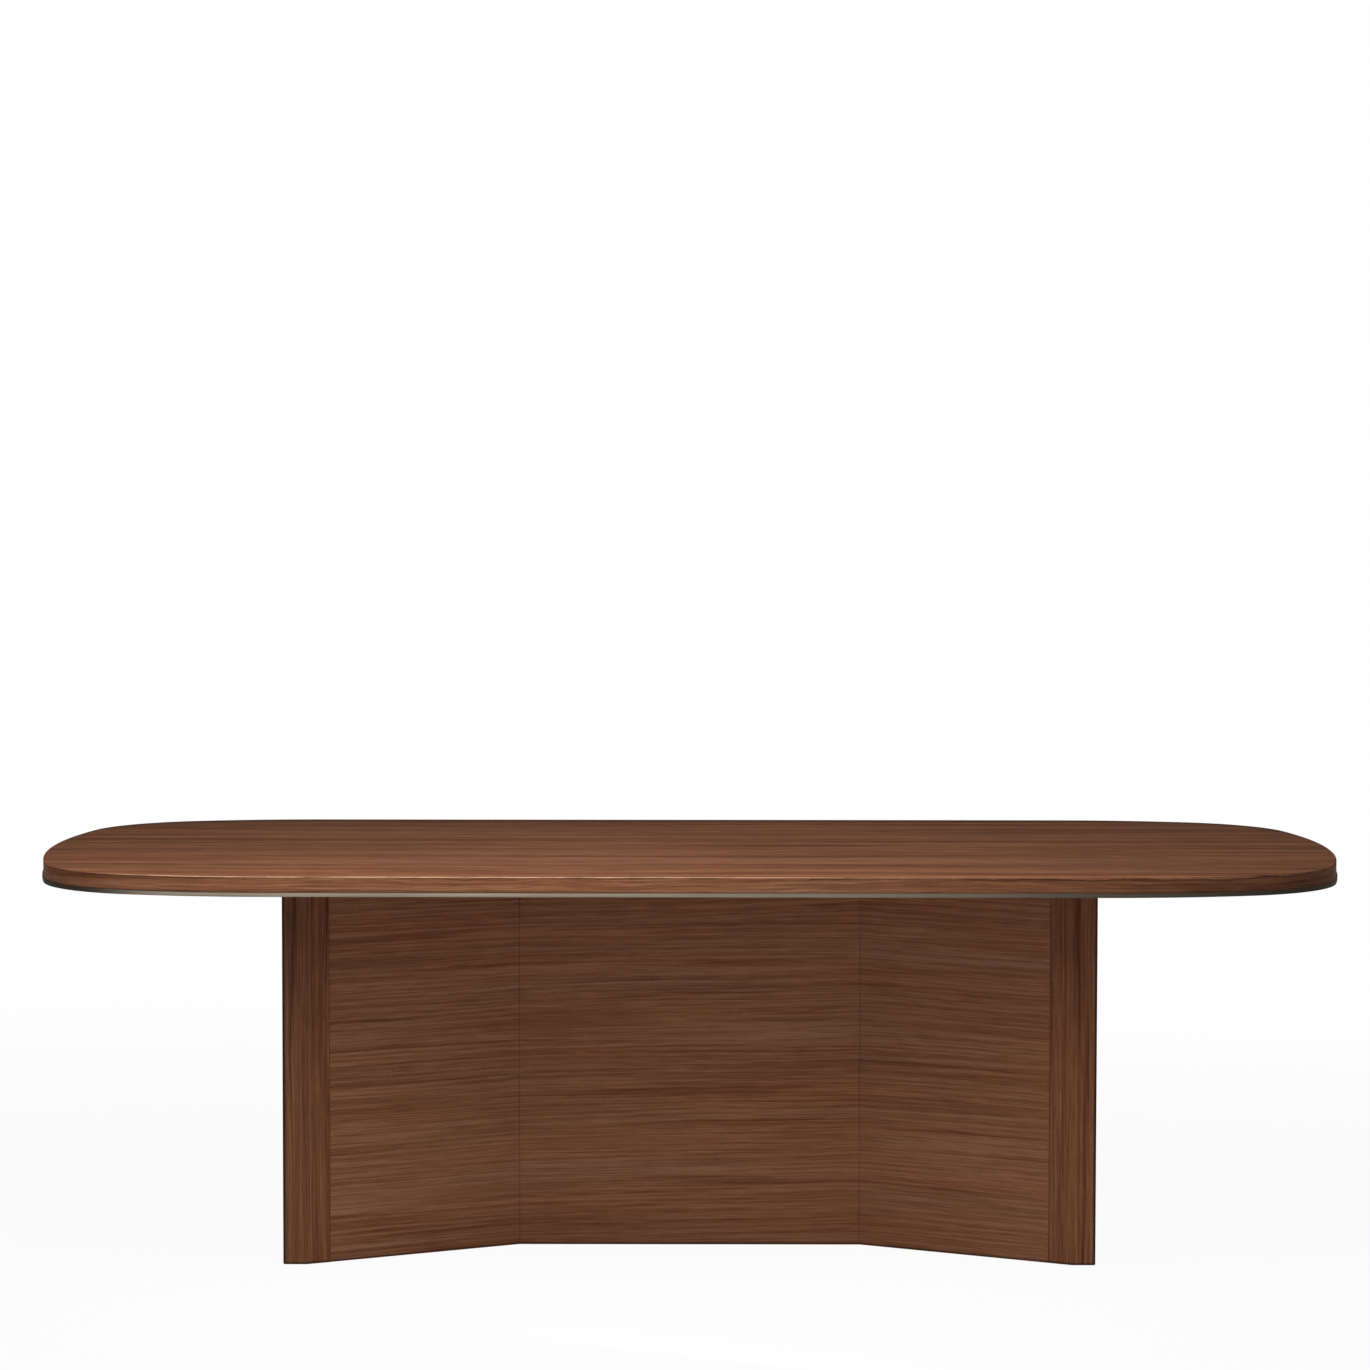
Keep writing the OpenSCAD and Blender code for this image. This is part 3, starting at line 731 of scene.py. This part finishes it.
def band_piece(kind, side, top, top_round, foot_round):
    """A band or strip that follows the rim, its grain along the run."""
    node = kind + "_" + side
    bm = solid(node)
    round_wall(bm, top, top_round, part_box(node)[0].z, foot_round)
    mark_arris(bm)
    run, distance, _ = RIM.locate([vert.co for vert in bm.verts])
    run = RIM.run_about(run, BAND_MIDDLE[side] * RIM.whole)
    set_grain(bm, [(along, vert.co.z, out) for along, vert, out in zip(run, bm.verts, distance)])
    finish_piece(bm, node)


# Pedestal

def is_upright(edge):
    return abs(edge.verts[0].co.z - edge.verts[1].co.z) > UPRIGHT_RISE


def is_outer(face, directions, facing=OUTER_FACING):
    """True for a face of full height that is turned to one of the directions, or not far from it."""
    heights = [vert.co.z for vert in face.verts]
    tall = max(heights) - min(heights) > PANEL_HEIGHT - HEIGHT_SLACK
    return tall and any(face.normal.dot(out) > facing for out in directions)


def has_square(edge, direction):
    """True for an edge of a face that is turned squarely to the direction."""
    return any(is_outer(face, [direction], SQUARE_FACING) for face in edge.link_faces)


def bevel(bm, edges, width, steps):
    """Rounds the edges, and returns the new faces."""
    cut = bmesh.ops.bevel(bm, geom=edges, offset=width, segments=steps, profile=0.5, affect="EDGES")
    bm.normal_update()
    return cut["faces"]


def round_panel(bm, directions, corners=()):
    """Eases the corners, seams and foot of a panel's outer faces, and marks the dark of its seams and
    the painted shade at its outer corners and foot.
    """
    layer = bm.faces.layers.float.new("seam")
    for first, second, width, shade in corners:
        shared = [edge for edge in bm.edges if is_upright(edge)
                  and has_square(edge, first) and has_square(edge, second)]
        # Painted shade on the outer corner, darker as it turns towards the end
        for face in bevel(bm, shared, width, CORNER_STEPS):
            face[layer] = shade * min(max(face.normal.dot(second) * CORNER_QUICK, 0.0), 1.0)
    shown = {face for face in bm.faces if is_outer(face, directions)}
    seams = [edge for edge in bm.edges if is_upright(edge) and len(set(edge.link_faces) & shown) == 1]
    for face in bevel(bm, seams, SEAM_BEVEL, SEAM_STEPS):
        face[layer] = 1.0
    low = min(vert.co.z for vert in bm.verts)
    shown = {face for face in bm.faces if is_outer(face, directions)}
    feet = [edge for edge in bm.edges if set(edge.link_faces) & shown
            and all(vert.co.z < low + WELD for vert in edge.verts)]
    # Painted shade along the foot
    for face in bevel(bm, feet, FOOT_BEVEL, FOOT_STEPS):
        face[layer] = FOOT_SHADE


def panel_piece(node, directions, grain_of, corners=()):
    """A panel or post, with its outer faces turned to the directions and its grain given by place."""
    bm = solid(node)
    round_panel(bm, directions, corners)
    set_grain(bm, [grain_of(vert.co) for vert in bm.verts])
    finish_piece(bm, node)


def centre_piece(face, fy, shift):
    """The flat panel between the wings."""
    def grain(p):
        return PANEL_START + p.x + shift, p.z + CENTRE_LEAN * p.x, abs(p.y) - CENTRE_OUT

    panel_piece("centre_panel_" + face, [Vector((0, fy, 0))], grain)


def wing_piece(place, sx, fy, shift):
    """A panel that turns outward, its grain going on from the centre panel's at the seam."""
    lean = LEFT_LEAN if sx * fy > 0 else RIGHT_LEAN
    seam_lift = CENTRE_LEAN * sx * CENTRE_HALF

    def grain(p):
        out = Vector((abs(p.x) - CENTRE_HALF, abs(p.y) - CENTRE_OUT))
        along = out.dot(WING_ALONG)
        run = PANEL_START + sx * (CENTRE_HALF + along) + shift
        return run, p.z + seam_lift + lean * along, out.dot(WING_OUT)

    panel_piece("wing_panel_" + place, [Vector((sx * WING_OUT.x, fy * WING_OUT.y, 0))], grain)


def post_piece(place, sx, fy, shift):
    """A corner post with a flat nose, its grain upright."""
    turn = Vector((sx * WING_OUT.x, fy * WING_OUT.y, 0))
    nose = Vector((0, fy, 0))
    end = Vector((sx, 0, 0))
    corners = (turn, nose, TURN_BEVEL, 0.0), (nose, end, CORNER_BEVEL, CORNER_SHADE)

    def grain(p):
        return p.z + sx * POST_START + shift, p.x, p.y

    panel_piece("post_" + place, [turn, nose, end], grain, corners)


def end_piece(side, sx):
    """The flat panel that closes an end of the pedestal."""
    def grain(p):
        return p.y + sx * BACK_SHIFT / 2, p.z, abs(p.x)

    panel_piece("end_panel_" + side, [Vector((sx, 0, 0))], grain)


def pedestal_pieces():
    for face, fy in FACES.items():
        shift = BACK_SHIFT if face == "back" else 0.0
        centre_piece(face, fy, shift)
        for side, sx in SIDES.items():
            wing_piece(face + "_" + side, sx, fy, shift)
            post_piece(face + "_" + side, sx, fy, shift)
    for side, sx in SIDES.items():
        end_piece(side, sx)


def dress_carried_nodes():
    """Gives every CAD node its own finish, for those that stay in view."""
    for node, piece in frame["nodes"].items():
        for slot in piece.material_slots:
            slot.material = MATERIALS[NODE_SLOT[node]]


# Stage: sizes in metres, and strengths of light where 1 is white

WHITE = (1.0, 1.0, 1.0, 1.0)
FLOOR_HALF = 30.0
FLOOR_TONES = ((0.3, paint(240, 240, 239)), (0.7, paint(246, 246, 245)))
FLOOR_FINE = (40.0, 40.0, 40.0)
FLOOR_GLOW = 0.95
GLOW_STRETCH = (0.62, 1.0, 0.0)
GLOW_RANGE = (1.4, 4.4)
AMBIENT = 0.11


def seen_ray(g):
    """1 for rays from the camera and for mirrored or refracted ones, else 0."""
    path = g.add("LightPath").outputs
    seen = g.math("MAXIMUM", path["Is Camera Ray"], path["Is Glossy Ray"])
    return g.math("MAXIMUM", seen, path["Is Transmission Ray"])


def floor_material():
    """Pale floor that reads white from the camera and still takes a soft shadow near the table."""
    g = new_material("floor")
    coords = g.object_coords()
    fine = g.noise(coords, FLOOR_FINE, detail=3.0)
    lit = g.add("BsdfDiffuse", {"Color": g.ramp(fine, FLOOR_TONES)}).outputs[0]
    glow = g.add("Emission", {"Color": WHITE, "Strength": 1.0}).outputs[0]
    away = g.add("VectorMath", {0: g.stretched(coords, GLOW_STRETCH)}, operation="LENGTH").outputs[1]
    share = g.between(away, *GLOW_RANGE, FLOOR_GLOW, 1.0)
    seen = g.add("MixShader", {0: share, 1: lit, 2: glow}).outputs[0]
    g.output(g.add("MixShader", {0: seen_ray(g), 1: lit, 2: seen}).outputs[0])
    return g.owner


def add_floor():
    mesh = bpy.data.meshes.new("floor")
    corners = [(sx * FLOOR_HALF, sy * FLOOR_HALF, 0) for sx, sy in ((-1, -1), (1, -1), (1, 1), (-1, 1))]
    mesh.from_pydata(corners, [], [(0, 1, 2, 3)])
    mesh.materials.append(floor_material())
    floor = bpy.data.objects.new("floor", mesh)
    bpy.context.scene.collection.objects.link(floor)


def add_world():
    """White to the camera and to reflections, and a soft even light to everything else."""
    g = Shader(bpy.data.worlds.new("studio"))
    strength = g.between(seen_ray(g), 0.0, 1.0, AMBIENT, 1.0)
    sky = g.add("Background", {"Color": WHITE, "Strength": strength}).outputs[0]
    g.add("OutputWorld", {"Surface": sky})
    bpy.context.scene.world = g.owner


# Lamps: name, place, aim, width, height, watts, whether it shows in reflections
LAMPS = (
    ("near_key", (0.1, -1.1, 2.2), (0.1, -0.4, 0.74), 2.0, 0.5, 19.0, True),
    ("mid_key", (-0.6, -1.5, 1.9), (0.0, -0.2, 0.74), 1.6, 0.6, 4.0, True),
    ("left_key", (-1.1, -2.2, 1.9), (-0.1, -0.2, 0.74), 1.6, 0.8, 5.0, True),
    ("low_key", (-0.5, -1.0, 1.4), (-0.4, -0.6, 0.74), 1.6, 0.3, 4.0, False),
    ("right_fill", (3.0, -4.6, 1.1), (0.0, 0.0, 0.4), 2.0, 1.6, 16.5, False),
    ("low_fill", (0.0, -4.0, 0.45), (0.0, 0.0, 0.3), 3.0, 0.6, 8.5, False),
    ("right_low", (0.1, -1.1, 0.12), (0.55, -0.2, 0.12), 0.9, 0.2, 0.6, False),
    ("back_fill", (0.8, 3.8, 0.40), (0.0, 0.0, 0.38), 3.4, 0.6, 44.0, False),
)


def add_lamps():
    for name, place, aim, width, height, watts, glints in LAMPS:
        light = bpy.data.lights.new(name, "AREA")
        light.shape = "RECTANGLE"
        light.size = width
        light.size_y = height
        light.energy = watts
        lamp = bpy.data.objects.new(name, light)
        lamp.location = place
        lamp.rotation_euler = (Vector(aim) - Vector(place)).to_track_quat("-Z", "Y").to_euler()
        lamp.visible_camera = False
        lamp.visible_glossy = glints
        bpy.context.scene.collection.objects.link(lamp)


def add_camera():
    data = bpy.data.cameras.new("photo_camera")
    data.sensor_width = SENSOR
    data.lens = FOCAL_PX * SENSOR / IMAGE_SIZE
    data.shift_x = (IMAGE_SIZE / 2 - AXIS_X_PX) / IMAGE_SIZE
    data.clip_end = CAMERA_REACH
    camera = bpy.data.objects.new("photo_camera", data)
    camera.location = CAMERA_PLACE
    level = Euler((math.pi / 2 - CAMERA_DOWN, 0.0, 0.0)).to_matrix()
    camera.rotation_euler = (level @ Matrix.Rotation(CAMERA_ROLL, 3, "Z")).to_euler()
    bpy.context.scene.collection.objects.link(camera)
    bpy.context.scene.camera = camera


add_camera()
add_world()
add_lamps()
add_floor()
top_pieces()
pedestal_pieces()
dress_carried_nodes()
bpy.context.scene.view_settings.view_transform = "Standard"
